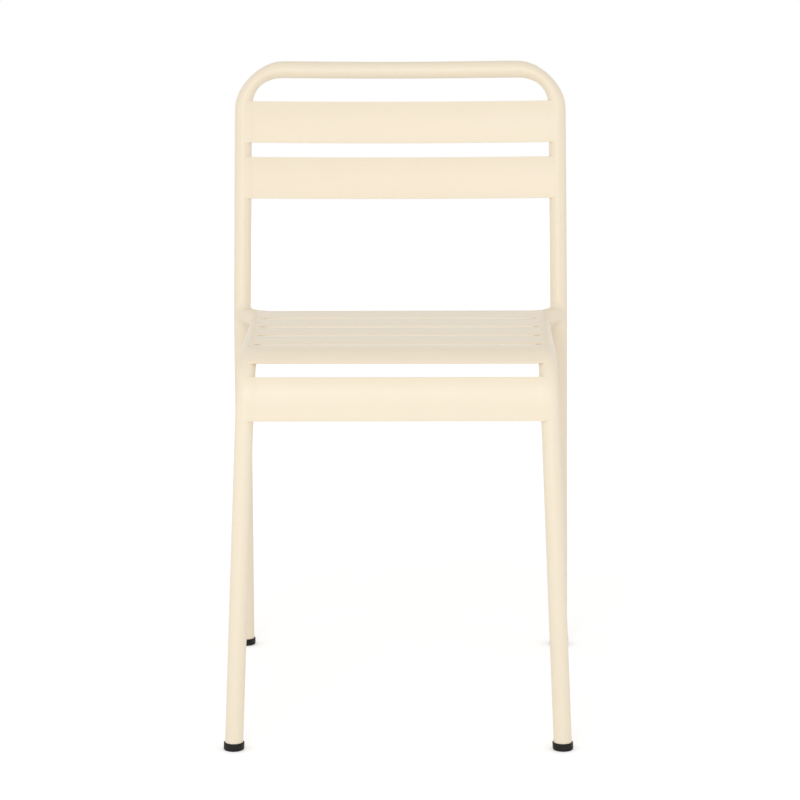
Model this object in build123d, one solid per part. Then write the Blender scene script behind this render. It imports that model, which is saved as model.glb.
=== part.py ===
"""A stackable dining chair of bent steel tube with welded sheet-steel slats.

Millimetres, +Z up. The origin is on the floor, midway between the four feet.
The sitter faces -Y, and left and right are as seen from the front, so left is -X.
"""
import os
from math import asin, atan2, cos, hypot, pi, radians, sin, sqrt, tan

from build123d import *

# Whole chair, with the height over the top rail's corner points
chair_height = 790.0
feet_depth = 476.0
front_feet_width = 397.0
rear_feet_width = 423.0

# Tubes, all of one stock, with the hidden bore drawn in flats to keep it light
tube_diameter = 22.0
tube_wall = 1.5
bore_sides = 12

# Side frames: seat rail, knee, front leg
seat_height = 481.0
seat_slope = 0.5
rail_inset = 26.0
front_leg_rake = 2.5
knee_radius = 51.0
rail_length = 360.0
rail_end_turn = 34.0
rail_end_radius = 51.0

# Back frame: rear legs, uprights, top rail
upright_width_seat = 410.0
upright_width_top = 407.0
back_lean = 12.9
seat_bend_radius = 70.0
top_corner_radius = 53.0
back_bow = 12.0
bow_radius = 1100.0

# Slats, all cut from one strip
slat_width = 54.0
slat_thickness = 2.0
slat_edge_break = 0.5
slat_setback = 0.8
seat_slat_count = 5
seat_slat_gap = 12.5
knee_gap = 19.5
rear_slat_inset = 31.5
back_slat_gap = 18.5
hand_hold_gap = 31.5

# Feet
foot_diameter = 25.0
foot_height = 9.5
stem_length = 24.0
stem_fin_thickness = 2.5
stem_lead_in = 2.0
stem_clearance = 0.15

# Joints, with the frame's beads ending where a coped rail runs off the upright's sides
cope_clearance = 0.1
weld_leg = 2.6
weld_margin = 4.0
weld_run_off = 5.5
weld_sides = 12

# Derived sizes
tube_radius = tube_diameter / 2
bore_radius = tube_radius - tube_wall
cope_radius = tube_radius + cope_clearance
weld_radius = tube_radius + weld_leg
front_feet_y = -feet_depth / 2
rear_feet_y = feet_depth / 2
axis_depth = tube_radius - slat_setback
slope = radians(seat_slope)
rake = radians(front_leg_rake)
lean = radians(back_lean)
knee_face_radius = knee_radius + axis_depth

# Corner points of the tubes' axes, on the right side of the chair
knee_z = seat_height - axis_depth / cos(slope)
knee_y = front_feet_y + knee_z * tan(rake)
joint_y = knee_y + rail_length
joint_z = knee_z - rail_length * tan(slope)
joint_x = upright_width_seat / 2
rail_x = joint_x - rail_inset
turn_y = joint_y - rail_inset / tan(radians(rail_end_turn))
turn_z = knee_z - (turn_y - knee_y) * tan(slope)
top_z = chair_height - tube_radius
top_y = joint_y + (top_z - joint_z) * tan(lean)
top_x = upright_width_top / 2

front_foot = Vector(front_feet_width / 2, front_feet_y, 0)
knee_corner = Vector(rail_x, knee_y, knee_z)
rail_turn = Vector(rail_x, turn_y, turn_z)
rail_joint = Vector(joint_x, joint_y, joint_z)
rear_foot = Vector(rear_feet_width / 2, rear_feet_y, 0)
top_corner = Vector(top_x, top_y, top_z)

# The backrest's own directions: up along the uprights, and square to it, backward
back_up = Vector(0, sin(lean), cos(lean))
back_normal = Vector(0, cos(lean), -sin(lean))


def mirrored(point):
    """The same point on the other side of the chair."""
    return Vector(-point.X, point.Y, point.Z)


def bar(path, radius, sides=0):
    """A bar along a path, round or with a number of flats at one distance from its axis."""
    outline = RegularPolygon(radius, sides, major_radius=False) if sides else Circle(radius)
    return sweep(Plane(path @ 0, z_dir=path % 0) * outline, path=path)


def both_sides(shape):
    """A shape of the right side together with its mirror image."""
    return shape + mirror(shape, about=Plane.YZ)


def floor_slab(height):
    """Everything from well below the floor up to one height."""
    slab_depth = 2 * foot_diameter
    span = 2 * (rear_feet_width + feet_depth)
    slab = Box(span, span, slab_depth + height, align=(Align.CENTER, Align.CENTER, Align.MIN))
    return Pos(0, 0, -slab_depth) * slab


def back_frame_path():
    """Axis of the back frame, from the left rear foot over the top to the right one."""
    # The top rail's halves are tangent to its round middle, which lies one bow behind its ends
    bow_centre = bow_radius - back_bow
    half_turn = asin(bow_radius / hypot(top_x, bow_centre)) - atan2(bow_centre, top_x)
    peak = Vector(0, top_y, top_z) + back_normal * (top_x * tan(half_turn))
    right_corners = [top_corner, rail_joint, rear_foot]
    left_corners = [mirrored(corner) for corner in reversed(right_corners)]
    radii = [seat_bend_radius, top_corner_radius, bow_radius, top_corner_radius, seat_bend_radius]
    return FilletPolyline(*left_corners, peak, *right_corners, radius=radii)


def side_frame_path():
    """Axis of the right side frame, from its joint with the back frame to the front foot."""
    corners = [rail_joint, rail_turn, knee_corner, front_foot]
    return FilletPolyline(*corners, radius=[rail_end_radius, knee_radius])


def seat_profile_point(travel, depth):
    """A point of the seat's section, seen from the side.

    travel runs along the slats' faces, from zero where the knee starts, positive to the front
    and down, negative to the rear. depth is measured inward from the faces.
    """
    turn = pi / 2 - rake + slope
    reach = knee_radius * tan(turn / 2)
    start_y = knee_y + reach * cos(slope)
    start_z = knee_z - reach * sin(slope)
    # Centre of the knee's bend, square below the rail
    centre_y = start_y - knee_radius * sin(slope)
    centre_z = start_z - knee_radius * cos(slope)
    angle = min(max(travel / knee_face_radius, 0), turn)
    radius = knee_face_radius - depth
    y = centre_y + radius * sin(slope - angle)
    z = centre_z + radius * cos(slope - angle)
    if travel < 0:
        y += -travel * cos(slope)
        z -= -travel * sin(slope)
    beyond = travel - knee_face_radius * turn
    if beyond > 0:
        y -= beyond * sin(rake)
        z -= beyond * cos(rake)
    return (y, z)


def seat_profile_edges(start, end, depth):
    """The section's line at one depth, as straight and round runs from start to end."""
    knee_end = knee_face_radius * (pi / 2 - rake + slope)
    stops = [start] + [stop for stop in (0, knee_end) if start < stop < end] + [end]
    runs = []
    for first, last in zip(stops, stops[1:]):
        middle = (first + last) / 2
        first_point = seat_profile_point(first, depth)
        last_point = seat_profile_point(last, depth)
        if 0 < middle < knee_end:
            runs.append(ThreePointArc(first_point, seat_profile_point(middle, depth), last_point))
        else:
            runs.append(Line(first_point, last_point))
    return runs


def seat_strip(start, end, depth, thickness, edge_break=0.0):
    """A strip of sheet that follows the seat's section and reaches past both side rails."""
    half_length = joint_x + tube_radius
    corners = [
        seat_profile_point(start, depth),
        seat_profile_point(end, depth),
        seat_profile_point(end, depth + thickness),
        seat_profile_point(start, depth + thickness),
    ]
    outline = seat_profile_edges(start, end, depth)
    outline.append(Line(corners[1], corners[2]))
    outline += seat_profile_edges(start, end, depth + thickness)
    outline.append(Line(corners[3], corners[0]))
    section = make_face(outline)
    if edge_break:
        sharp = [section.vertices().sort_by_distance(corner)[0] for corner in corners]
        section = chamfer(sharp, edge_break)
    return extrude(Plane.YZ * section, half_length, both=True)


def back_strip(low, high, depth, thickness, edge_break=0.0):
    """A bowed strip of sheet across the back, between two distances up the uprights."""
    half_length = joint_x + tube_radius
    # The face passes the uprights' axes at the set depth and bows back between them
    face_y = depth - axis_depth
    chord_x = top_x
    radius = (chord_x**2 + back_bow**2) / (2 * back_bow)
    end_y = face_y + back_bow - radius + (radius**2 - half_length**2) ** 0.5
    front = ThreePointArc((-half_length, end_y), (0, face_y + back_bow), (half_length, end_y))
    rear = Pos(0, thickness) * front
    outline = [front, Line(front @ 1, rear @ 1), rear, Line(rear @ 0, front @ 0)]
    base = Vector(0, joint_y, joint_z) + back_up * low
    section = Plane(base, x_dir=(1, 0, 0), z_dir=back_up) * make_face(outline)
    strip = extrude(section, high - low)
    if edge_break:
        strip = chamfer(strip.edges().filter_by(GeomType.CIRCLE), edge_break)
    return strip


def middle_piece(shape):
    """The piece left between the two tubes that a strip was fitted to."""
    return shape.solids().sort_by(SortBy.VOLUME)[-1]


def inner_bead(shape):
    """Of the beads left along two tubes, the one on the right tube's inner side."""
    right = [solid for solid in shape.solids() if solid.center().X > 0]
    return min(right, key=lambda solid: solid.center().X)


def foot(base, corner):
    """A plug foot: a level head that leans with its leg, and a stem of crossed fins in the bore."""
    axis = (corner - base).normalized()
    head = extrude(Plane(base) * Circle(foot_diameter / 2), foot_height / axis.Z, dir=axis)
    # Each fin starts inside the head and narrows at its far end, to enter the tube easily
    half_fin = stem_fin_thickness / 2
    reach = sqrt((bore_radius - stem_clearance) ** 2 - half_fin**2)
    start = foot_height / 2
    end = foot_height / axis.Z + stem_length
    outline = Polyline(
        (-reach, start),
        (reach, start),
        (reach, end - stem_lead_in),
        (reach - stem_lead_in, end),
        (stem_lead_in - reach, end),
        (-reach, end - stem_lead_in),
        close=True,
    )
    fin = extrude(Plane.XZ * make_face(outline), half_fin, both=True)
    stem = fin + Rot(0, 0, 90) * fin
    return head + Plane(base, z_dir=axis) * stem


# Back frame
back_path = back_frame_path()
back_cutter = bar(back_path, cope_radius)
back_frame = bar(back_path, tube_radius) - bar(back_path, bore_radius, bore_sides)
back_frame = back_frame - floor_slab(foot_height)

# Side frames, each coped to the back frame
side_path = side_frame_path()
side_frame_right = bar(side_path, tube_radius) - bar(side_path, bore_radius, bore_sides)
side_frame_right = middle_piece(side_frame_right - floor_slab(foot_height) - back_cutter)
side_frame_left = mirror(side_frame_right, about=Plane.YZ)

# Space that the weld beads leave to the tubes, and the space that they reach into
side_root = bar(side_path, cope_radius, weld_sides)
side_face = bar(side_path, weld_radius, weld_sides)
back_root = bar(back_path, cope_radius, weld_sides)
back_face = bar(back_path, weld_radius, weld_sides)

# Seat slats, from the rear forward, each coped to the side rails
rail_cutters = both_sides(bar(side_path, cope_radius))
knee_start_y = seat_profile_point(0, 0)[0]
first_travel = -(joint_y - rear_slat_inset - knee_start_y) / cos(slope)
slat_pitch = slat_width + seat_slat_gap
slat_starts = [first_travel + slat_pitch * index for index in range(seat_slat_count)]
slat_starts.append(slat_starts[-1] + slat_width + knee_gap)

seat_slats = []
seat_beads = []
for start in slat_starts:
    end = start + slat_width
    blank = seat_strip(start, end, 0, slat_thickness, slat_edge_break)
    seat_slats.append(middle_piece(blank - rail_cutters))
    layer = seat_strip(start + weld_margin, end - weld_margin, slat_thickness, weld_leg)
    seat_beads.append(inner_bead((layer & side_face) - side_root))

# Back slats, measured down from the top rail, each coped to the uprights
top_travel = (top_z - joint_z) / cos(lean)
upper_high = top_travel - tube_radius - hand_hold_gap
lower_high = upper_high - slat_width - back_slat_gap
back_slats = []
back_beads = []
for high in (upper_high, lower_high):
    low = high - slat_width
    blank = back_strip(low, high, 0, slat_thickness, slat_edge_break)
    back_slats.append(middle_piece(blank - back_cutter))
    layer = back_strip(low + weld_margin, high - weld_margin, slat_thickness, weld_leg)
    back_beads.append(inner_bead((layer & back_face) - back_root))

# Weld beads over and under the right side frame's coped end
rail_end = (rail_joint - rail_turn).normalized()
run_off = Plane(rail_joint - rail_end * weld_run_off, z_dir=rail_end)
frame_beads = split((side_face & back_face) - side_root - back_root, bisect_by=run_off, keep=Keep.BOTTOM)
frame_beads = frame_beads.solids()

# Feet
feet = {
    "foot_front_right": foot(front_foot, knee_corner),
    "foot_rear_right": foot(rear_foot, rail_joint),
}
feet["foot_front_left"] = mirror(feet["foot_front_right"], about=Plane.YZ)
feet["foot_rear_left"] = mirror(feet["foot_rear_right"], about=Plane.YZ)

# Named pieces
nodes = {
    "back_frame": back_frame,
    "side_frame_left": side_frame_left,
    "side_frame_right": side_frame_right,
    "back_slat_upper": back_slats[0],
    "back_slat_lower": back_slats[1],
    "front_slat": seat_slats[-1],
}
for index, slat in enumerate(seat_slats[:-1]):
    nodes[f"seat_slat_{index + 1}"] = slat
nodes.update(feet)
for name, beads in (("frame", frame_beads), ("back_slat", back_beads), ("seat_slat", seat_beads)):
    nodes[f"{name}_welds_right"] = Compound(children=beads)
    nodes[f"{name}_welds_left"] = Compound(children=[mirror(bead, about=Plane.YZ) for bead in beads])

os.makedirs("parts", exist_ok=True)
for name, shape in nodes.items():
    export_step(shape, f"parts/{name}.step")
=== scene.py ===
"""A slatted steel dining chair, modelled for rendering round its packed frame.

Metres, +Z up. The origin is on the floor, midway between the four feet. The sitter faces -Y,
and left and right are as seen from the front, so left is -X.
"""
from math import asin, atan2, cos, hypot, pi, radians, sin, sqrt, tan

import bpy
from mathutils import Matrix, Vector


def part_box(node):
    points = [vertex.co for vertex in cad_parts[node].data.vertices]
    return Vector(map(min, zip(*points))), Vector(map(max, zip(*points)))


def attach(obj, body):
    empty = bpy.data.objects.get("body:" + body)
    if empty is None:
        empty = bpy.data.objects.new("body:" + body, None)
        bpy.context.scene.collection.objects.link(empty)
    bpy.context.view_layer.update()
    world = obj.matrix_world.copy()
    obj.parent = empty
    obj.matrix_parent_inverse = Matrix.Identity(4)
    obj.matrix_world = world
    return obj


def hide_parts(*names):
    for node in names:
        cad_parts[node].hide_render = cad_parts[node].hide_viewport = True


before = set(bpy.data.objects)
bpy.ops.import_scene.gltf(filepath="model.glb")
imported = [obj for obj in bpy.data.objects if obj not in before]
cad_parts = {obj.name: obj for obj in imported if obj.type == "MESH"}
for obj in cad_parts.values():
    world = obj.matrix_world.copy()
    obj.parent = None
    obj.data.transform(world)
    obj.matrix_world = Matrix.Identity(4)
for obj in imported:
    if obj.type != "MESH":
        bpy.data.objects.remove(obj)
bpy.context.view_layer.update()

bl_info = {
    "name": "Slatted steel chair",
    "version": (1, 0, 0),
    "blender": (4, 5, 0),
    "location": "View3D > Sidebar > Chair",
    "description": "Models a stacking chair of bent tube and sheet slats, piece by piece",
    "category": "Add Mesh",
}

BODY = "root"
COAT_SLOT = "cream_coat"
FOOT_SLOT = "black_foot"

# How finely round forms are divided
RING_POINTS = 48
BEND_STEP = radians(3.75)
LEAST_BEND_STEPS = 6
SMOOTH_ANGLE = radians(35)
# Points closer than this are one point
MERGE_DISTANCE = 1e-6
# A piece may lie this far outside the box of the node that it stands for
FIT_MARGIN = 0.0045
# Slats' ends may lie this much further out, because they run on to the tubes' axes
SLAT_RUN_ON = 0.006

BLACK = (0, 0, 0, 1)
WHITE = (1, 1, 1, 1)


def number(name, default, description, **limits):
    """A number that a user may change."""
    return bpy.props.FloatProperty(name=name, description=description, default=default, **limits)


def length(name, default, description):
    """A length in metres."""
    return number(name, default, description, min=0.0, precision=5, unit="LENGTH", subtype="DISTANCE")


def angle(name, default, description):
    """An angle, given in degrees."""
    return number(name, radians(default), description, subtype="ANGLE")


def share(name, default, description):
    """A number from 0 to 1."""
    return number(name, default, description, min=0.0, max=1.0, subtype="FACTOR")


def watts(name, default, description):
    """A lamp's power."""
    return number(name, default, description, min=0.0, unit="POWER")


def colour(name, default, description):
    """A colour that a user may change."""
    return bpy.props.FloatVectorProperty(
        name=name, description=description, default=default, min=0.0, max=1.0, size=3, subtype="COLOR"
    )


class ChairFrameSizes(bpy.types.PropertyGroup):
    """Sizes of the bent tubes."""

    tube_diameter: length("Tube diameter", 0.022, "Outside of all the tubes")
    tube_wall: length("Tube wall", 0.0015, "Thickness of the tubes' walls")
    chair_height: length("Chair height", 0.790, "Height over the top rail's corner points")
    feet_depth: length("Feet depth", 0.476, "From the front feet to the rear feet")
    front_feet_width: length("Front feet width", 0.397, "Between the front feet's middles")
    rear_feet_width: length("Rear feet width", 0.423, "Between the rear feet's middles")
    seat_height: length("Seat height", 0.481, "Height of the seat's face above the knee")
    seat_slope: angle("Seat slope", 0.5, "How far the seat falls to the rear")
    front_leg_rake: angle("Front leg rake", 2.5, "How far the front legs lean, seen from the side")
    knee_radius: length("Knee radius", 0.051, "Bend of a side frame between seat rail and leg")
    rail_length: length("Rail length", 0.360, "From the knee's corner point to the back frame")
    rail_inset: length("Rail inset", 0.026, "How far a seat rail lies inside the upright it joins")
    rail_end_turn: angle("Rail end turn", 34.0, "How far a seat rail's rear end turns outward")
    rail_end_radius: length("Rail end radius", 0.051, "Bend of a seat rail's rear end")
    upright_width_seat: length("Upright width at the seat", 0.410, "Between the uprights at seat height")
    upright_width_top: length("Upright width at the top", 0.407, "Between the uprights at the top corners")
    back_lean: angle("Back lean", 12.9, "How far the uprights lean back")
    seat_bend_radius: length("Seat bend radius", 0.070, "Bend of the back frame at seat height")
    top_corner_radius: length("Top corner radius", 0.053, "Bend of the back frame's top corners")
    top_corner_flattening: share("Top corner flattening", 0.19, "How much bending flattens the tube there")
    back_bow: length("Back bow", 0.012, "How far the top rail and back slats bow back")
    bow_radius: length("Bow radius", 1.100, "Bend of the top rail's middle")


class ChairSlatSizes(bpy.types.PropertyGroup):
    """Sizes of the sheet slats."""

    slat_width: length("Slat width", 0.054, "Width of the strip that all slats are cut from")
    slat_thickness: length("Slat thickness", 0.002, "Thickness of the sheet")
    slat_setback: length("Slat setback", 0.0008, "How far the faces lie below the tubes' outermost lines")
    edge_round: length("Edge round", 0.0005, "Rounding of the slats' edges under the paint")
    end_landing: length("End landing", 0.005, "Length of a slat's end level with its tube's crest")
    end_ramp: length("End ramp", 0.012, "Length over which a slat rises to its landing")
    seat_slat_gap: length("Seat slat gap", 0.0125, "Between two seat slats")
    knee_gap: length("Knee gap", 0.0195, "Between the fifth seat slat and the front slat")
    rear_slat_inset: length("Rear slat inset", 0.0315, "From the back frame's axis to the rear seat slat")
    back_slat_gap: length("Back slat gap", 0.0185, "Between the two back slats")
    hand_hold_gap: length("Hand hold gap", 0.0315, "Between the top rail and the upper back slat")


class ChairFootSizes(bpy.types.PropertyGroup):
    """Sizes of the plug feet."""

    foot_diameter: length("Foot diameter", 0.025, "Outside of a foot's head")
    foot_height: length("Foot height", 0.0095, "Height of a foot's head")
    foot_edge: length("Foot edge", 0.002, "Rounding of a foot's lower edge")
    foot_rim: length("Foot rim", 0.0007, "Rounding of a foot's upper edge")
    stem_length: length("Stem length", 0.024, "Length of the fins inside the tube")
    fin_thickness: length("Fin thickness", 0.0025, "Thickness of the stem's fins")
    fin_clearance: length("Fin clearance", 0.00015, "Room between the fins and the bore")
    fin_lead_in: length("Fin lead in", 0.002, "Bevel of the fins' far corners")


class ChairWeldSizes(bpy.types.PropertyGroup):
    """Sizes of the welds."""

    bead_radius: length("Bead radius", 0.0021, "Radius of the beads under the slats' ends")
    bead_margin: length("Bead margin", 0.004, "From a slat's edge to the end of its bead")
    ripple_length: length("Ripple length", 0.0022, "From one ripple of a bead to the next")
    ripple_depth: share("Ripple depth", 0.10, "How much a bead narrows between two ripples")
    fillet_grain: length("Fillet grain", 0.0010, "Fineness of the smooth welds between the tubes")
    fillet_build_up: length("Fillet build-up", 0.0011, "Metal laid on the tubes before it is dressed")
    fillet_passes: bpy.props.IntProperty(
        name="Fillet passes", description="How far the tubes' welds are dressed", default=700, min=1
    )


class ChairFinishes(bpy.types.PropertyGroup):
    """Colours and gloss of the finishes."""

    coat_colour: colour("Coat colour", (0.900, 0.790, 0.620), "Cream powder coat")
    coat_roughness: share("Coat roughness", 0.37, "Satin gloss of the powder coat")
    foot_colour: colour("Foot colour", (0.011, 0.010, 0.009), "Moulded black plastic")
    foot_roughness: share("Foot roughness", 0.52, "Dull gloss of the feet")


class ChairStageSettings(bpy.types.PropertyGroup):
    """Camera and light."""

    focal_length: number("Focal length", 142.73, "Lens on a 36 mm sensor", min=1.0, unit="CAMERA")
    camera_place: bpy.props.FloatVectorProperty(
        name="Camera place",
        description="Where the camera stands, in metres",
        default=(0.0481, -3.9121, 1.1481),
        subtype="XYZ",
    )
    camera_pitch: angle("Camera pitch", 11.07, "How far the camera looks down")
    camera_yaw: angle("Camera yaw", -0.694, "How far the camera looks to the right")
    camera_roll: angle("Camera roll", 0.22, "How far the picture leans")
    ambient: share("Ambient", 0.69, "Strength of the soft light from all round")
    key_power: watts("Key power", 22.5, "Power of the large front lamp")
    sheen_power: watts("Sheen power", 11.5, "Power of the small high lamp")
    fill_power: watts("Fill power", 7.5, "Power of each of the two side lamps")
    floor_lift: share("Floor lift", 0.44, "How far the floor is lifted to white in the picture")
    shadow_lift: share("Shadow lift", 0.325, "How far the floor is lifted round the chair")


class Layout:
    """Points, directions and lines of the chair, worked out from its sizes."""

    def __init__(self, scene):
        tubes = scene.chair_frame
        slats = scene.chair_slats
        self.tubes = tubes
        self.slats = slats
        self.radius = tubes.tube_diameter / 2
        self.axis_depth = self.radius - slats.slat_setback
        self.slope = tubes.seat_slope
        self.rake = tubes.front_leg_rake
        self.knee_turn = pi / 2 - self.rake + self.slope
        self.knee_face_radius = tubes.knee_radius + self.axis_depth

        front_y = -tubes.feet_depth / 2
        knee_z = tubes.seat_height - self.axis_depth / cos(self.slope)
        knee_y = front_y + knee_z * tan(self.rake)
        joint_x = tubes.upright_width_seat / 2
        joint_y = knee_y + tubes.rail_length
        joint_z = knee_z - tubes.rail_length * tan(self.slope)
        rail_x = joint_x - tubes.rail_inset
        turn_y = joint_y - tubes.rail_inset / tan(tubes.rail_end_turn)
        turn_z = knee_z - (turn_y - knee_y) * tan(self.slope)
        top_z = tubes.chair_height - self.radius
        top_y = joint_y + (top_z - joint_z) * tan(tubes.back_lean)

        self.front_foot = Vector((tubes.front_feet_width / 2, front_y, 0))
        self.knee = Vector((rail_x, knee_y, knee_z))
        self.rail_turn = Vector((rail_x, turn_y, turn_z))
        self.joint = Vector((joint_x, joint_y, joint_z))
        self.rear_foot = Vector((tubes.rear_feet_width / 2, -front_y, 0))
        self.top_corner = Vector((tubes.upright_width_top / 2, top_y, top_z))
        self.back_up = Vector((0, sin(tubes.back_lean), cos(tubes.back_lean)))
        self.back_normal = Vector((0, cos(tubes.back_lean), -sin(tubes.back_lean)))
        self.upright_length = (top_z - joint_z) / cos(tubes.back_lean)

        # Centre of the knee's bend, and where the bend starts on the seat's face
        reach = tubes.knee_radius * tan(self.knee_turn / 2)
        start_y = knee_y + reach * cos(self.slope)
        start_z = knee_z - reach * sin(self.slope)
        centre_y = start_y - tubes.knee_radius * sin(self.slope)
        centre_z = start_z - tubes.knee_radius * cos(self.slope)
        self.knee_centre = Vector((0, centre_y, centre_z))
        self.knee_end = self.knee_face_radius * self.knee_turn

    def side_corners(self):
        """Corner points and bends of the right side frame, from the back frame to the front foot."""
        corners = [self.joint, self.rail_turn, self.knee, self.front_foot]
        return corners, [self.tubes.rail_end_radius, self.tubes.knee_radius]

    def upright_corners(self):
        """Corner points and bend of the back frame's right half below its top corner."""
        return [self.rear_foot, self.joint, self.top_corner], [self.tubes.seat_bend_radius]

    def back_corners(self):
        """Corner points, bends and flattenings of the whole back frame, from the left foot over the top."""
        tubes = self.tubes
        half_width = self.top_corner.x
        centre = tubes.bow_radius - tubes.back_bow
        half_turn = asin(tubes.bow_radius / hypot(half_width, centre)) - atan2(centre, half_width)
        peak = Vector((0, self.top_corner.y, self.top_corner.z))
        peak += self.back_normal * (half_width * tan(half_turn))
        right = [self.top_corner, self.joint, self.rear_foot]
        left = [mirrored(corner) for corner in reversed(right)]
        outer_bends = [tubes.seat_bend_radius, tubes.top_corner_radius]
        bends = outer_bends + [tubes.bow_radius] + outer_bends[::-1]
        outer_flattening = [0.0, tubes.top_corner_flattening]
        flattening = outer_flattening + [0.0] + outer_flattening[::-1]
        return left + [peak] + right, bends, flattening

    def knee_angle(self, travel):
        """How far the knee has turned at a point of the seat's section."""
        return min(max(travel / self.knee_face_radius, 0), self.knee_turn)

    def seat_point(self, travel, depth):
        """A point of the seat's section in the middle plane.

        travel runs along the slats' faces, from zero where the knee starts, positive to the front
        and down, negative to the rear. depth is measured inward from the faces.
        """
        turned = self.knee_angle(travel) - self.slope
        radius = self.knee_face_radius - depth
        point = self.knee_centre + Vector((0, -sin(turned), cos(turned))) * radius
        if travel < 0:
            point += Vector((0, cos(self.slope), -sin(self.slope))) * -travel
        if travel > self.knee_end:
            point += Vector((0, -sin(self.rake), -cos(self.rake))) * (travel - self.knee_end)
        return point

    def rail_half_width(self, travel):
        """Distance from the middle plane to a side frame's axis beside a point of the seat's section."""
        point = self.seat_point(travel, self.axis_depth)
        if travel > 0:
            fall = (self.knee.z - point.z) / self.knee.z
            return self.knee.x + (self.front_foot.x - self.knee.x) * fall
        turn = self.tubes.rail_end_turn
        bend = self.tubes.rail_end_radius
        bend_start = self.rail_turn.y - bend * tan(turn / 2)
        if point.y <= bend_start:
            return self.rail_turn.x
        if point.y < bend_start + bend * sin(turn):
            turned = asin((point.y - bend_start) / bend)
            return self.rail_turn.x + bend * (1 - cos(turned))
        return self.rail_turn.x + (point.y - self.rail_turn.y) * tan(turn)

    def seat_slat_spans(self):
        """Where each seat slat starts and ends along the seat's section, from the rear forward."""
        slats = self.slats
        knee_start = self.seat_point(0, 0)
        start = -(self.joint.y - slats.rear_slat_inset - knee_start.y) / cos(self.slope)
        gaps = [slats.seat_slat_gap] * 4 + [slats.knee_gap, 0]
        spans = []
        for gap in gaps:
            spans.append((start, start + slats.slat_width))
            start += slats.slat_width + gap
        return spans

    def back_slat_spans(self):
        """Where the upper and the lower back slat start and end along the uprights."""
        slats = self.slats
        high = self.upright_length - self.radius - slats.hand_hold_gap
        upper = (high - slats.slat_width, high)
        high -= slats.slat_width + slats.back_slat_gap
        return [upper, (high - slats.slat_width, high)]

    def upright_half_width(self, low, high):
        """Distance from the middle plane to an upright's axis, halfway between two places along it."""
        widening = self.top_corner.x - self.joint.x
        return self.joint.x + widening * (low + high) / 2 / self.upright_length

    def end_rise(self, offset):
        """How far a slat's face stands above its middle, at a distance from the tube's crest."""
        along = min(max((offset - self.slats.end_landing) / self.slats.end_ramp, 0), 1)
        return self.slats.slat_setback * (1 - along * along * (3 - 2 * along))

    def end_offsets(self):
        """Distances from the tube's crest at which a slat's end is divided."""
        divisions = 6
        ramp = [self.slats.end_ramp * index / divisions for index in range(divisions + 1)]
        return [0.0] + [self.slats.end_landing + distance for distance in ramp]


def mirrored(point):
    """The same point on the other side of the chair."""
    return Vector((-point.x, point.y, point.z))


def leave_edit_mode():
    """Back to object mode, from whichever mode is on."""
    if bpy.context.mode != "OBJECT":
        bpy.ops.object.mode_set(mode="OBJECT")


def start_piece():
    """Nothing selected, so that the next operators act on a new piece alone."""
    leave_edit_mode()
    bpy.ops.object.select_all(action="DESELECT")


def pick(piece):
    """Selects one piece alone and makes it the active one."""
    start_piece()
    piece.select_set(True)
    bpy.context.view_layer.objects.active = piece


def rename(piece, name):
    """Names a piece and its mesh."""
    piece.name = name
    piece.data.name = name


def edit_all():
    """Opens the active piece for editing, with all of it selected."""
    bpy.ops.object.mode_set(mode="EDIT")
    bpy.ops.mesh.select_all(action="SELECT")


def take_up(name):
    """Names the primitive that was just added, moves its place into its mesh and opens it for editing."""
    bpy.ops.object.transform_apply(location=True, rotation=True, scale=True)
    piece = bpy.context.object
    rename(piece, name)
    edit_all()
    return piece


def face_outward():
    """Turns the faces of the piece being edited outward, and leaves edit mode."""
    bpy.ops.mesh.select_all(action="SELECT")
    bpy.ops.mesh.normals_make_consistent(inside=False)
    leave_edit_mode()


def close_ends():
    """Closes the open ends of the bar being edited, and leaves edit mode."""
    bpy.ops.mesh.select_all(action="SELECT")
    bpy.ops.mesh.fill_holes(sides=0)
    face_outward()


def extrude(move):
    """Extrudes what is selected along a straight run."""
    bpy.ops.mesh.extrude_region_move(TRANSFORM_OT_translate={"value": move})


def extrude_along(points):
    """Extrudes what is selected from point to point."""
    for before, after in zip(points, points[1:]):
        extrude(after - before)


def bend_steps(turn):
    """How many straight steps a bend is divided into."""
    return max(LEAST_BEND_STEPS, round(turn / BEND_STEP))


def spin(centre, axis, turn, steps):
    """Extrudes what is selected round a bend. The operator counts turns the other way round."""
    bpy.ops.mesh.spin(steps=steps, angle=-turn, center=centre, axis=axis)


def spin_flattened(start, centre, axis, turn, flattening):
    """Extrudes the selected ring round a bend. Towards the bend's middle the ring is flatter and wider."""
    steps = bend_steps(turn)
    height = 1.0
    for index in range(1, steps + 1):
        spin(centre, axis, turn / steps, steps=1)
        arm = Matrix.Rotation(turn * index / steps, 3, axis) @ (start - centre)
        outward = arm.normalized()
        new_height = 1 - flattening * sin(pi * index / steps) ** 2
        grow = new_height / height
        bpy.ops.transform.resize(
            value=(grow, sqrt(1 / grow), 1),
            orient_type="GLOBAL",
            orient_matrix=(outward, axis, axis.cross(outward)),
            orient_matrix_type="GLOBAL",
            center_override=centre + arm,
        )
        height = new_height


def follow_path(corners, bends, flattening=None):
    """Extrudes the selected ring along straight runs and round the bends between them."""
    here = corners[0]
    flattening = flattening or [0.0] * len(bends)
    for before, corner, after, bend, flatten in zip(corners, corners[1:], corners[2:], bends, flattening):
        along = (corner - before).normalized()
        onward = (after - corner).normalized()
        turn = along.angle(onward)
        reach = bend * tan(turn / 2)
        bend_start = corner - along * reach
        extrude(bend_start - here)
        axis = along.cross(onward).normalized()
        centre = bend_start + axis.cross(along) * bend
        if flatten:
            spin_flattened(bend_start, centre, axis, turn, flatten)
        else:
            spin(centre, axis, turn, bend_steps(turn))
        here = corner + onward * reach
    extrude(corners[-1] - here)


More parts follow.
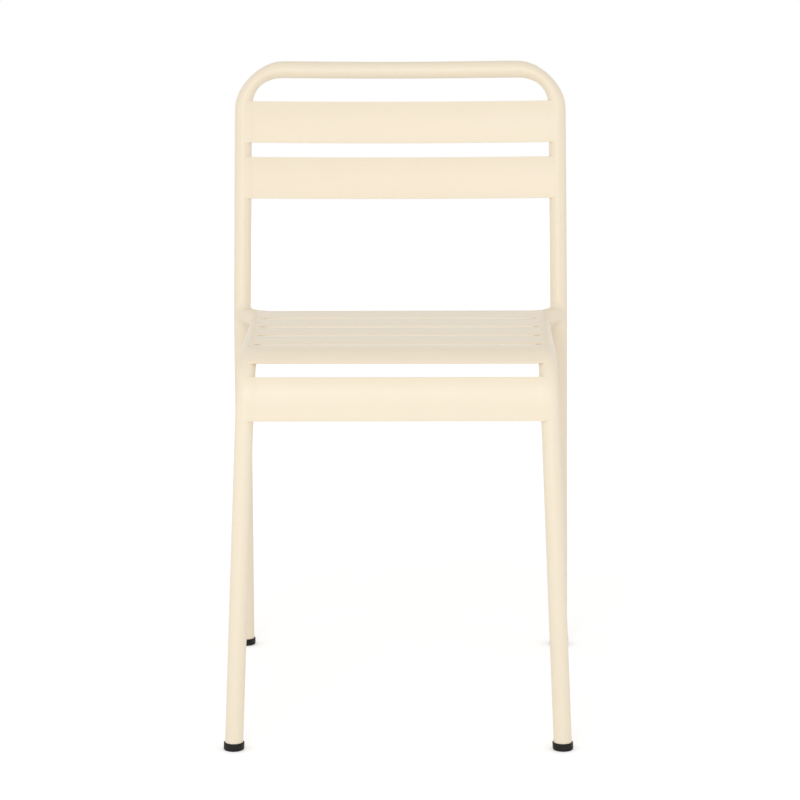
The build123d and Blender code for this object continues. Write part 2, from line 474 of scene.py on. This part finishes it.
def draw_bar(name, path, radius):
    """A round bar along a path, open at both ends, left in edit mode.

    Its ring is turned by a quarter step, so that no corner of it lies at the top rail's highest line.
    """
    start_piece()
    start, onward = path[0][:2]
    facing = (onward - start).to_track_quat("Z", "Y").to_matrix()
    facing = facing @ Matrix.Rotation(pi / 2 / RING_POINTS, 3, "Z")
    bpy.ops.mesh.primitive_circle_add(
        vertices=RING_POINTS, radius=radius, location=start, rotation=facing.to_euler()
    )
    piece = take_up(name)
    follow_path(*path)
    bpy.ops.mesh.select_all(action="SELECT")
    bpy.ops.mesh.remove_doubles(threshold=MERGE_DISTANCE)
    bpy.ops.mesh.normals_make_consistent(inside=False)
    return piece


def cut_away(point, normal):
    """Cuts away what lies behind a plane."""
    bpy.ops.mesh.select_all(action="SELECT")
    bpy.ops.mesh.bisect(plane_co=point, plane_no=normal, clear_inner=True)


def apply_modifier(piece, name, kind, **settings):
    """Adds a modifier with its settings and applies it."""
    pick(piece)
    modifier = piece.modifiers.new(name, kind)
    for setting, value in settings.items():
        setattr(modifier, setting, value)
    bpy.ops.object.modifier_apply(modifier=name)


def add_wall(piece, thickness):
    """Gives an open surface its thickness, inward from its face."""
    apply_modifier(piece, "Wall", "SOLIDIFY", thickness=thickness, offset=-1.0, use_even_offset=True)


def bend_tube(context, layout, name, path):
    """A hollow tube along a path, cut level where the feet's heads end."""
    piece = draw_bar(name, path, layout.radius)
    foot_top = context.scene.chair_feet.foot_height
    cut_away((0, 0, foot_top), (0, 0, 1))
    leave_edit_mode()
    add_wall(piece, layout.tubes.tube_wall)
    return piece


def combine(piece, operation, tool):
    """Joins a tool to a piece or cuts it out of the piece, and removes the tool."""
    apply_modifier(piece, "Tool", "BOOLEAN", operation=operation, object=tool, solver="EXACT")
    bpy.data.objects.remove(tool)


def smooth(piece):
    """Smooth shading that keeps real edges."""
    pick(piece)
    bpy.ops.object.shade_smooth_by_angle(angle=SMOOTH_ANGLE)


def mirrored_copy(piece, name):
    """A copy of a piece, with its own mesh, on the other side of the chair."""
    pick(piece)
    bpy.ops.object.duplicate()
    copy = bpy.context.object
    rename(copy, name)
    edit_all()
    bpy.ops.transform.resize(value=(-1, 1, 1), center_override=(0, 0, 0))
    bpy.ops.mesh.flip_normals()
    leave_edit_mode()
    return copy


def face_towards(piece, direction):
    """Turns an open sheet's faces over if they look away from a direction."""
    leave_edit_mode()
    looks = sum((face.normal * face.area for face in piece.data.polygons), Vector())
    if looks.dot(direction) < 0:
        edit_all()
        bpy.ops.mesh.flip_normals()
        leave_edit_mode()


def draw_line(name, points):
    """A line drawn from one vertex, extruded from point to point, left in edit mode and selected."""
    start_piece()
    seed_size = 0.001
    bpy.ops.mesh.primitive_plane_add(size=seed_size, location=points[0])
    piece = take_up(name)
    bpy.ops.mesh.merge(type="CENTER")
    extrude_along(points)
    bpy.ops.mesh.select_all(action="SELECT")
    return piece


def finish_sheet(piece, layout, faces):
    """Gives a slat its thickness and its rounded edges."""
    sharp = {"limit_method": "ANGLE", "angle_limit": radians(50)}
    face_towards(piece, faces)
    add_wall(piece, layout.slats.slat_thickness)
    apply_modifier(piece, "Edges", "BEVEL", width=layout.slats.edge_round, segments=3, **sharp)
    smooth(piece)


def join_parts(parts, name):
    """Joins parts to one smooth piece."""
    piece = parts[0]
    start_piece()
    for part in parts:
        part.select_set(True)
    bpy.context.view_layer.objects.active = piece
    bpy.ops.object.join()
    rename(piece, name)
    smooth(piece)
    return piece


def dress(piece, slot, nodes):
    """Gives a piece its finish, and ties it to the frame in place of the nodes that it stands for."""
    for node in nodes:
        for axis, (low, high) in enumerate(zip(*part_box(node))):
            places = [vertex.co[axis] for vertex in piece.data.vertices]
            over = max(low - min(places), max(places) - high)
            if over > allowed_overhang(node, axis):
                raise RuntimeError(f"{piece.name} reaches {over:.4f} m out of {node} along axis {axis}")
    piece.data.materials.clear()
    piece.data.materials.append(finish_for(slot))
    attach(piece, BODY)
    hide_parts(*nodes)


def allowed_overhang(node, axis):
    """How far a piece may reach out of its node's box along one axis."""
    across = axis == 0
    return FIT_MARGIN + (SLAT_RUN_ON if "slat" in node and across else 0.0)


def dress_both_sides(piece, slot, node):
    """Mirrors a right-hand piece, and dresses it and its copy for their nodes."""
    copy = mirrored_copy(piece, piece.name.replace("right", "left"))
    dress(piece, slot, [node])
    dress(copy, slot, [node.replace("right", "left")])


class Value:
    """One number of a shader, whose sums and products become Math nodes."""

    def __init__(self, finish, socket):
        self.finish = finish
        self.socket = socket

    def math(self, operation, first, second):
        """What a Math node makes of two numbers."""
        return self.finish.node("ShaderNodeMath", {"operation": operation}, {0: first, 1: second})

    def __add__(self, other):
        return self.math("ADD", self, other)

    __radd__ = __add__

    def __sub__(self, other):
        return self.math("SUBTRACT", self, other)

    def __rsub__(self, other):
        return self.math("SUBTRACT", other, self)

    def __mul__(self, other):
        return self.math("MULTIPLY", self, other)

    __rmul__ = __mul__


class Finish:
    """A node tree under construction."""

    def __init__(self, tree):
        self.tree = tree
        self.tree.nodes.clear()

    def node(self, kind, settings, sockets, output=0):
        """Adds a node with its settings, then the values or links of its sockets. Gives one output."""
        made = self.tree.nodes.new(kind)
        for name, value in settings.items():
            setattr(made, name, value)
        for key, value in sockets.items():
            if isinstance(value, Value):
                self.tree.links.new(value.socket, made.inputs[key])
            else:
                made.inputs[key].default_value = value
        return Value(self, made.outputs[output]) if made.outputs else None

    def place(self):
        """Where a point lies in the piece's own mesh."""
        return self.node("ShaderNodeTexCoord", {}, {}, output="Object")

    def mix(self, factor, first, second):
        """A colour between two others. The numbers are those of a Mix node's colour sockets."""
        return self.node("ShaderNodeMix", {"data_type": "RGBA"}, {0: factor, 6: first, 7: second}, output=2)

    def noise(self, place, scale, detail):
        """Soft noise, about 0.5 on average."""
        return self.node("ShaderNodeTexNoise", {}, {"Vector": place, "Scale": scale, "Detail": detail})

    def surface(self, sockets):
        """Ends a material's tree with its shader."""
        shader = self.node("ShaderNodeBsdfPrincipled", {}, sockets)
        self.node("ShaderNodeOutputMaterial", {}, {"Surface": shader})


def new_finish(name):
    """A material with an empty node tree."""
    material = bpy.data.materials.new(name)
    material.use_nodes = True
    return material, Finish(material.node_tree)


def opaque(rgb):
    """A colour with full alpha, for a node's socket."""
    return (rgb[0], rgb[1], rgb[2], 1.0)


def coat_finish(name, settings):
    """Cream powder coat: satin, with the fine orange peel of cured powder and faint clouds of tone."""
    material, finish = new_finish(name)
    place = finish.place()
    clouds = finish.noise(place, scale=26.0, detail=3.0)
    peel = finish.noise(place, scale=620.0, detail=1.0)
    grain = finish.noise(place, scale=2600.0, detail=1.0)
    cloud_depth = 0.015
    speck_share = 0.10
    speck_tone = 0.93
    cloud_gloss = 0.05
    grain_gloss = 0.06
    grain_height = 0.25
    base = Vector(settings.coat_colour)
    tone = finish.mix(clouds, opaque(base * (1 - cloud_depth)), opaque(base * (1 + cloud_depth)))
    speckle = finish.mix(grain * speck_share, tone, opaque(base * speck_tone))
    rough = settings.coat_roughness + (clouds - 0.5) * cloud_gloss + (grain - 0.5) * grain_gloss
    height = peel + grain * grain_height
    bump = finish.node("ShaderNodeBump", {}, {"Strength": 0.22, "Distance": 0.00012, "Height": height})
    finish.surface({"Base Color": speckle, "Roughness": rough, "Normal": bump})
    return material


def foot_finish(name, settings):
    """Moulded black plastic: dull, finely eroded by the mould, with faint clouds of tone and gloss."""
    material, finish = new_finish(name)
    place = finish.place()
    spark = finish.noise(place, scale=1900.0, detail=2.0)
    clouds = finish.noise(place, scale=90.0, detail=2.0)
    dark_tone = 0.8
    light_tone = 1.3
    cloud_gloss = 0.2
    spark_gloss = 0.1
    base = Vector(settings.foot_colour)
    tone = finish.mix(clouds, opaque(base * dark_tone), opaque(base * light_tone))
    rough = settings.foot_roughness + (clouds - 0.5) * cloud_gloss + (spark - 0.5) * spark_gloss
    bump = finish.node("ShaderNodeBump", {}, {"Strength": 0.35, "Distance": 0.0001, "Height": spark})
    finish.surface({"Base Color": tone, "Roughness": rough, "Normal": bump, "Specular IOR Level": 0.2})
    return material


def seen_directly(finish):
    """1 where the camera, a reflection or clear glass looks at a surface, and 0 for its light on others."""
    rays = ("Is Camera Ray", "Is Glossy Ray", "Is Transmission Ray")
    camera, glossy, through = [finish.node("ShaderNodeLightPath", {}, {}, output=ray) for ray in rays]
    return camera + glossy + through


def floor_finish(settings):
    """Pale studio floor, lifted to white in the picture, but less near the chair, where its shadow shows."""
    pale = 0.9
    shadow_reach = 0.5
    shadow_end = 1.6
    material, finish = new_finish("pale_floor")
    place = finish.place()
    distance = finish.node("ShaderNodeVectorMath", {"operation": "LENGTH"}, {0: place}, output="Value")
    lift = finish.node(
        "ShaderNodeMapRange",
        {"interpolation_type": "SMOOTHSTEP"},
        {
            "Value": distance,
            "From Min": shadow_reach,
            "From Max": shadow_end,
            "To Min": settings.shadow_lift / settings.floor_lift,
            "To Max": 1.0,
        },
    )
    glow = finish.mix(seen_directly(finish) * lift, BLACK, WHITE)
    finish.surface(
        {
            "Base Color": opaque((pale, pale, pale)),
            "Roughness": 1.0,
            "Specular IOR Level": 0.0,
            "Emission Color": glow,
            "Emission Strength": settings.floor_lift,
        }
    )
    return material


FINISHES = {
    COAT_SLOT: ("cream_powder_coat", coat_finish),
    FOOT_SLOT: ("black_foot_plastic", foot_finish),
}


def finish_for(slot):
    """The finish of a material slot, made when it is first asked for."""
    name, make = FINISHES[slot]
    return bpy.data.materials.get(name) or make(name, bpy.context.scene.chair_finishes)


class CHAIR_OT_back_frame(bpy.types.Operator):
    """Bends the back frame from one tube: rear legs, uprights, top corners and bowed top rail"""

    bl_idname = "chair.back_frame"
    bl_label = "Back frame"
    bl_options = {"REGISTER", "UNDO"}

    def execute(self, context):
        layout = Layout(context.scene)
        piece = bend_tube(context, layout, "back_frame_tube", layout.back_corners())
        smooth(piece)
        dress(piece, COAT_SLOT, ["back_frame"])
        return {"FINISHED"}


class CHAIR_OT_side_frames(bpy.types.Operator):
    """Bends the right side frame, copes its rear end to the back frame and mirrors it"""

    bl_idname = "chair.side_frames"
    bl_label = "Side frames"
    bl_options = {"REGISTER", "UNDO"}

    def execute(self, context):
        layout = Layout(context.scene)
        cope_clearance = 0.0001
        cutter = draw_bar("cope_cutter", layout.upright_corners(), layout.radius + cope_clearance)
        close_ends()
        piece = bend_tube(context, layout, "side_frame_right_tube", layout.side_corners())
        combine(piece, "DIFFERENCE", cutter)
        smooth(piece)
        dress_both_sides(piece, COAT_SLOT, "side_frame_right")
        return {"FINISHED"}


class CHAIR_OT_seat_slats(bpy.types.Operator):
    """Lays the five seat slats and the front slat along the seat's section, rail to rail"""

    bl_idname = "chair.seat_slats"
    bl_label = "Seat slats"
    bl_options = {"REGISTER", "UNDO"}

    def execute(self, context):
        layout = Layout(context.scene)
        spans = layout.seat_slat_spans()
        names = [f"seat_slat_{index + 1}" for index in range(len(spans) - 1)] + ["front_slat"]
        for name, (start, end) in zip(names, spans):
            piece = self.lay_slat(layout, name + "_sheet", start, end)
            dress(piece, COAT_SLOT, [name])
        return {"FINISHED"}

    def lay_slat(self, layout, name, start, end):
        """One slat: its rear edge drawn from rail to rail, then extruded forward and round the knee."""
        half = layout.rail_half_width(start)
        right = []
        for offset in layout.end_offsets():
            point = layout.seat_point(start, -layout.end_rise(offset))
            right.append(point + Vector((half - offset, 0, 0)))
        left = [mirrored(point) for point in right]
        piece = draw_line(name, left + right[::-1])
        divisions = 9
        knee_steps = 2
        stops = [start + (end - start) * index / divisions for index in range(divisions + 1)]
        stops += [stop for stop in (0.0, layout.knee_end) if start < stop < end]
        stops.sort()
        for before, after in zip(stops, stops[1:]):
            if before < 0 or before >= layout.knee_end:
                extrude(layout.seat_point(after, 0) - layout.seat_point(before, 0))
            else:
                turn = (after - before) / layout.knee_face_radius
                spin(layout.knee_centre, (1, 0, 0), turn, steps=knee_steps)
            stretch = layout.rail_half_width(after) / layout.rail_half_width(before)
            bpy.ops.transform.resize(value=(stretch, 1, 1), center_override=(0, 0, 0))
        middle = (start + end) / 2
        finish_sheet(piece, layout, layout.seat_point(middle, -1) - layout.seat_point(middle, 0))
        return piece


class CHAIR_OT_back_slats(bpy.types.Operator):
    """Bows the upper and the lower back slat from upright to upright"""

    bl_idname = "chair.back_slats"
    bl_label = "Back slats"
    bl_options = {"REGISTER", "UNDO"}

    def execute(self, context):
        layout = Layout(context.scene)
        for name, (low, high) in zip(["back_slat_upper", "back_slat_lower"], layout.back_slat_spans()):
            piece = self.bow_slat(layout, name + "_sheet", low, high)
            dress(piece, COAT_SLOT, [name])
        return {"FINISHED"}

    def bow_slat(self, layout, name, low, high):
        """One slat: its left end drawn upright, then extruded from the tube's crest and spun across."""
        bow_steps = 32
        bow = layout.tubes.back_bow
        half = layout.upright_half_width(low, high)
        radius = (half**2 + bow**2) / (2 * bow)
        foot_of_upright = Vector((0, layout.joint.y, layout.joint.z))

        def face_point(offset, up):
            across = half - offset
            depth = bow - radius + sqrt(radius**2 - across**2) - layout.axis_depth - layout.end_rise(offset)
            side = Vector((across, 0, 0))
            return foot_of_upright + layout.back_up * up + layout.back_normal * depth + side

        right = [face_point(offset, low) for offset in layout.end_offsets()]
        left = [mirrored(point) for point in right]
        piece = draw_line(name, [left[0], left[0] + layout.back_up * (high - low)])
        extrude_along(left)
        centre = foot_of_upright + layout.back_normal * (bow - radius - layout.axis_depth)
        spin(centre, -layout.back_up, 2 * asin(right[-1].x / radius), steps=bow_steps)
        extrude_along(right[::-1])
        finish_sheet(piece, layout, -layout.back_normal)
        return piece


class CHAIR_OT_feet(bpy.types.Operator):
    """Moulds a front and a rear plug foot and mirrors them"""

    bl_idname = "chair.feet"
    bl_label = "Feet"
    bl_options = {"REGISTER", "UNDO"}

    def execute(self, context):
        layout = Layout(context.scene)
        legs = {"front": (layout.front_foot, layout.knee), "rear": (layout.rear_foot, layout.joint)}
        for place, (base, corner) in legs.items():
            axis = (corner - base).normalized()
            piece = self.mould_foot(context, layout, f"foot_{place}_right_plug", base, axis)
            dress_both_sides(piece, FOOT_SLOT, f"foot_{place}_right")
        return {"FINISHED"}

    def mould_foot(self, context, layout, name, base, axis):
        """A level head drawn up ring by ring along the leaning leg, and two crossed fins above it."""
        sizes = context.scene.chair_feet
        rings = self.head_rings(sizes)
        start_piece()
        bpy.ops.mesh.primitive_circle_add(
            vertices=RING_POINTS, radius=rings[0][1], fill_type="NGON", location=base
        )
        piece = take_up(name)
        for (low, small), (high, large) in zip(rings, rings[1:]):
            extrude(axis * ((high - low) / axis.z))
            centre = base + axis * (high / axis.z)
            bpy.ops.transform.resize(value=(large / small, large / small, 1), center_override=centre)
        face_outward()
        fins = [self.make_fin(layout, sizes, base, axis, turn) for turn in (0, pi / 2)]
        return join_parts([piece] + fins, name)

    def head_rings(self, sizes):
        """Height and radius of each ring of the head, with round lower and upper edges."""
        steps = 6
        head = sizes.foot_diameter / 2
        edge = sizes.foot_edge
        rim = sizes.foot_rim
        top = sizes.foot_height
        turns = [pi / 2 * index / steps for index in range(steps + 1)]
        lower = [(edge * (1 - cos(turn)), head - edge * (1 - sin(turn))) for turn in turns]
        upper = [(top - rim * (1 - sin(turn)), head - rim * (1 - cos(turn))) for turn in turns]
        return lower + upper

    def make_fin(self, layout, sizes, base, axis, turn):
        """One fin of the stem, a flat bar with bevelled far corners."""
        half_fin = sizes.fin_thickness / 2
        bore = layout.radius - layout.tubes.tube_wall - sizes.fin_clearance
        reach = sqrt(bore**2 - half_fin**2)
        root = sizes.foot_height / 2
        tip = sizes.foot_height / axis.z + sizes.stem_length
        facing = axis.to_track_quat("Z", "Y").to_matrix() @ Matrix.Rotation(turn, 3, "Z")
        start_piece()
        bpy.ops.mesh.primitive_cube_add(
            size=1.0,
            location=base + axis * ((root + tip) / 2),
            rotation=facing.to_euler(),
            scale=(2 * reach, sizes.fin_thickness, tip - root),
        )
        fin = take_up("foot_fin")
        bpy.ops.mesh.select_all(action="DESELECT")
        leave_edit_mode()
        across = facing @ Vector((1, 0, 0))
        self.select_tip_edges(fin, base, axis, across, tip, reach)
        bpy.ops.object.mode_set(mode="EDIT")
        bpy.ops.mesh.bevel(offset=sizes.fin_lead_in, segments=1, affect="EDGES")
        leave_edit_mode()
        return fin

    def select_tip_edges(self, fin, base, axis, across, tip, reach):
        """Selects the two short edges at the fin's far corners."""
        near = 1e-5
        for edge in fin.data.edges:
            ends = [fin.data.vertices[index].co - base for index in edge.vertices]
            at_tip = all(abs(end.dot(axis) - tip) < near for end in ends)
            at_corner = all(abs(abs(end.dot(across)) - reach) < near for end in ends)
            same_side = ends[0].dot(across) * ends[1].dot(across) > 0
            edge.select = at_tip and at_corner and same_side


class CHAIR_OT_frame_welds(bpy.types.Operator):
    """Blends the right side frame into the back frame with a dressed weld and mirrors it"""

    bl_idname = "chair.frame_welds"
    bl_label = "Frame welds"
    bl_options = {"REGISTER", "UNDO"}

    def execute(self, context):
        layout = Layout(context.scene)
        sizes = context.scene.chair_welds
        # From the joint to where the metal laid on ends, and to where the tubes that trim it end
        laid_reach = 0.042
        trim_reach = 0.048
        blending = 0.5
        upright = layout.upright_corners()
        rail = layout.side_corners()
        laid_on = layout.radius + sizes.fillet_build_up
        piece = self.bar_end("frame_weld_right_fillet", layout.joint, upright, laid_on, laid_reach)
        combine(piece, "UNION", self.bar_end("weld_rail", layout.joint, rail, laid_on, laid_reach))
        apply_modifier(piece, "Grain", "REMESH", mode="VOXEL", voxel_size=sizes.fillet_grain)
        apply_modifier(piece, "Blend", "SMOOTH", factor=blending, iterations=sizes.fillet_passes)
        # Only what stands out of the two tubes is weld metal
        for path in (upright, rail):
            tube = self.bar_end("weld_tube", layout.joint, path, layout.radius, trim_reach)
            combine(piece, "DIFFERENCE", tube)
        smooth(piece)
        dress_both_sides(piece, COAT_SLOT, "frame_welds_right")
        return {"FINISHED"}

    def bar_end(self, name, joint, path, radius, around):
        """A solid bar along one of the two tubes, cut off at a distance round their joint."""
        piece = draw_bar(name, path, radius)
        for normal in (Vector((0, 0, 1)), Vector((0, 0, -1)), Vector((0, 1, 0))):
            cut_away(joint - normal * around, normal)
        close_ends()
        return piece


class CHAIR_OT_slat_welds(bpy.types.Operator):
    """Runs a rippled bead along the inner corner of each slat's end"""

    bl_idname = "chair.slat_welds"
    bl_label = "Slat welds"
    bl_options = {"REGISTER", "UNDO"}

    def execute(self, context):
        layout = Layout(context.scene)
        sizes = context.scene.chair_welds
        seat = [self.seat_bead(layout, sizes, *span) for span in layout.seat_slat_spans()]
        back = [self.back_bead(layout, sizes, *span) for span in layout.back_slat_spans()]
        for kind, beads in (("seat", seat), ("back", back)):
            piece = join_parts(beads, f"{kind}_slat_beads_right")
            dress_both_sides(piece, COAT_SLOT, f"{kind}_slat_welds_right")
        return {"FINISHED"}

    def corner(self, layout, sizes):
        """How far inside a tube's axis and below a slat's face a bead's middle lies."""
        # Shares of its radius by which a bead's middle stands off the sheet and off the tube
        off_sheet = 0.6
        off_tube = 0.5
        depth = layout.slats.slat_thickness + off_sheet * sizes.bead_radius
        level = layout.axis_depth - depth
        reach = layout.radius + off_tube * sizes.bead_radius
        return sqrt(reach**2 - level**2), depth

    def ring_sizes(self, sizes, run):
        """Places along a bead and its radius there: a round start, ripples and a round end."""
        least_steps = 8
        steps_per_ripple = 4
        least_dome = 0.15
        steps = max(least_steps, round(run / sizes.ripple_length) * steps_per_ripple)
        rings = []
        for index in range(steps + 1):
            along = run * index / steps
            to_end = min(along, run - along) / sizes.bead_radius
            dome = sqrt(1 - (1 - min(to_end, 1)) ** 2)
            ripple = 1 - sizes.ripple_depth * (0.5 - 0.5 * cos(2 * pi * along / sizes.ripple_length))
            rings.append((along, sizes.bead_radius * max(dome, least_dome) * ripple))
        return rings

    def start_bead(self, centre, direction, radius):
        """A small disc that the bead is drawn from."""
        bead_points = 12
        start_piece()
        facing = direction.to_track_quat("Z", "Y").to_euler()
        bpy.ops.mesh.primitive_circle_add(
            vertices=bead_points, radius=radius, fill_type="NGON", location=centre, rotation=facing
        )
        return take_up("slat_bead")

    def swell(self, centre, before, after):
        """Changes the bead's radius at its newest ring."""
        grow = after / before
        bpy.ops.transform.resize(value=(grow, grow, grow), center_override=centre)

    def seat_bead(self, layout, sizes, start, end):
        """The bead under a seat slat's right end, which follows the rail and the knee."""
        inset, depth = self.corner(layout, sizes)
        start += sizes.bead_margin
        end -= sizes.bead_margin
        rings = self.ring_sizes(sizes, end - start)

        def middle(travel):
            return layout.seat_point(travel, depth) + Vector((layout.rail_half_width(travel) - inset, 0, 0))

        piece = self.start_bead(middle(start), middle(start + rings[1][0]) - middle(start), rings[0][1])
        for (low, small), (high, large) in zip(rings, rings[1:]):
            here = start + low
            there = start + high
            turn = layout.knee_angle(there) - layout.knee_angle(here)
            extrude(middle(there) - middle(here))
            if turn > 0:
                bpy.ops.transform.rotate(value=-turn, orient_axis="X", center_override=middle(there))
            self.swell(middle(there), small, large)
        face_outward()
        return piece

    def back_bead(self, layout, sizes, low, high):
        """The bead behind a back slat's right end."""
        inset, depth = self.corner(layout, sizes)
        low += sizes.bead_margin
        high -= sizes.bead_margin
        half = layout.upright_half_width(low, high)
        start = Vector((half - inset, layout.joint.y, layout.joint.z))
        start += layout.back_up * low + layout.back_normal * (depth - layout.axis_depth)
        rings = self.ring_sizes(sizes, high - low)
        piece = self.start_bead(start, layout.back_up, rings[0][1])
        for (before, small), (after, large) in zip(rings, rings[1:]):
            extrude(layout.back_up * (after - before))
            self.swell(start + layout.back_up * after, small, large)
        face_outward()
        return piece


class CHAIR_OT_stage(bpy.types.Operator):
    """Sets up the floor, the soft studio light and the camera"""

    bl_idname = "chair.stage"
    bl_label = "Stage"
    bl_options = {"REGISTER", "UNDO"}

    def execute(self, context):
        settings = context.scene.chair_stage
        context.scene.view_settings.view_transform = "Standard"
        self.lay_floor(settings)
        self.light_world(context, settings)
        self.hang_lamps(settings)
        self.set_camera(context, settings)
        return {"FINISHED"}

    def lay_floor(self, settings):
        """A pale floor, which isn't part of the chair."""
        floor_size = 9.0
        start_piece()
        bpy.ops.mesh.primitive_plane_add(size=floor_size)
        floor = bpy.context.object
        floor.name = "studio_floor"
        floor.data.materials.append(floor_finish(settings))

    def light_world(self, context, settings):
        """Soft light from all round, which is plain white where it is looked at."""
        world = bpy.data.worlds.new("studio_world")
        world.use_nodes = True
        context.scene.world = world
        finish = Finish(world.node_tree)
        dim = settings.ambient
        tone = finish.mix(seen_directly(finish), opaque((dim, dim, dim)), WHITE)
        sky = finish.node("ShaderNodeBackground", {}, {"Color": tone, "Strength": 1.0})
        finish.node("ShaderNodeOutputWorld", {}, {"Surface": sky})

    def hang_lamps(self, settings):
        """A large soft lamp in front of the chair, a small one above it and a weak one at each side."""
        key = settings.key_power
        sheen = settings.sheen_power
        fill = settings.fill_power
        self.hang_lamp("key_softbox", place=(-0.2, -3.4, 1.1), size=(3.2, 2.0), power=key)
        self.hang_lamp("sheen_softbox", place=(-0.75, -3.4, 1.95), size=(1.0, 1.0), power=sheen)
        self.hang_lamp("fill_softbox_left", place=(-2.8, -1.2, 0.8), size=(2.0, 2.0), power=fill)
        self.hang_lamp("fill_softbox_right", place=(2.8, -1.2, 0.8), size=(2.0, 2.0), power=fill)

    def hang_lamp(self, name, place, size, power):
        """A rectangular softbox that faces the middle of the chair."""
        place = Vector(place)
        chair_middle = Vector((0, 0, 0.5))
        facing = (chair_middle - place).to_track_quat("-Z", "Y").to_euler()
        start_piece()
        bpy.ops.object.light_add(type="AREA", location=place, rotation=facing)
        lamp = bpy.context.object
        lamp.name = name
        lamp.data.shape = "RECTANGLE"
        lamp.data.size = size[0]
        lamp.data.size_y = size[1]
        lamp.data.energy = power

    def set_camera(self, context, settings):
        """The photograph's viewpoint."""
        start_piece()
        turned = Matrix.Rotation(-settings.camera_yaw, 3, "Z")
        turned = turned @ Matrix.Rotation(pi / 2 - settings.camera_pitch, 3, "X")
        turned = turned @ Matrix.Rotation(-settings.camera_roll, 3, "Z")
        bpy.ops.object.camera_add(location=settings.camera_place, rotation=turned.to_euler())
        camera = bpy.context.object
        camera.name = "photo_camera"
        camera.data.sensor_width = 36.0
        camera.data.sensor_fit = "HORIZONTAL"
        camera.data.lens = settings.focal_length
        camera.data.clip_end = 100.0
        context.scene.camera = camera


PIECE_OPERATORS = [
    CHAIR_OT_back_frame,
    CHAIR_OT_side_frames,
    CHAIR_OT_seat_slats,
    CHAIR_OT_back_slats,
    CHAIR_OT_feet,
    CHAIR_OT_frame_welds,
    CHAIR_OT_slat_welds,
    CHAIR_OT_stage,
]


class CHAIR_PT_panel(bpy.types.Panel):
    """Sizes, finishes and steps of the chair"""

    bl_idname = "CHAIR_PT_panel"
    bl_label = "Slatted steel chair"
    bl_space_type = "VIEW_3D"
    bl_region_type = "UI"
    bl_category = "Chair"

    def draw(self, context):
        for name, group in GROUPS.items():
            box = self.layout.box()
            box.label(text=group.__doc__)
            for setting in group.__annotations__:
                box.prop(getattr(context.scene, name), setting)
        for operator in PIECE_OPERATORS:
            self.layout.operator(operator.bl_idname)


GROUPS = {
    "chair_frame": ChairFrameSizes,
    "chair_slats": ChairSlatSizes,
    "chair_feet": ChairFootSizes,
    "chair_welds": ChairWeldSizes,
    "chair_finishes": ChairFinishes,
    "chair_stage": ChairStageSettings,
}


def register():
    for name, group in GROUPS.items():
        bpy.utils.register_class(group)
        setattr(bpy.types.Scene, name, bpy.props.PointerProperty(type=group))
    for operator in PIECE_OPERATORS:
        bpy.utils.register_class(operator)
    bpy.utils.register_class(CHAIR_PT_panel)


def unregister():
    bpy.utils.unregister_class(CHAIR_PT_panel)
    for operator in reversed(PIECE_OPERATORS):
        bpy.utils.unregister_class(operator)
    for name, group in reversed(GROUPS.items()):
        delattr(bpy.types.Scene, name)
        bpy.utils.unregister_class(group)


def main():
    register()
    bpy.ops.chair.back_frame()
    bpy.ops.chair.side_frames()
    bpy.ops.chair.seat_slats()
    bpy.ops.chair.back_slats()
    bpy.ops.chair.feet()
    bpy.ops.chair.frame_welds()
    bpy.ops.chair.slat_welds()
    bpy.ops.chair.stage()


if __name__ == "__main__":
    main()
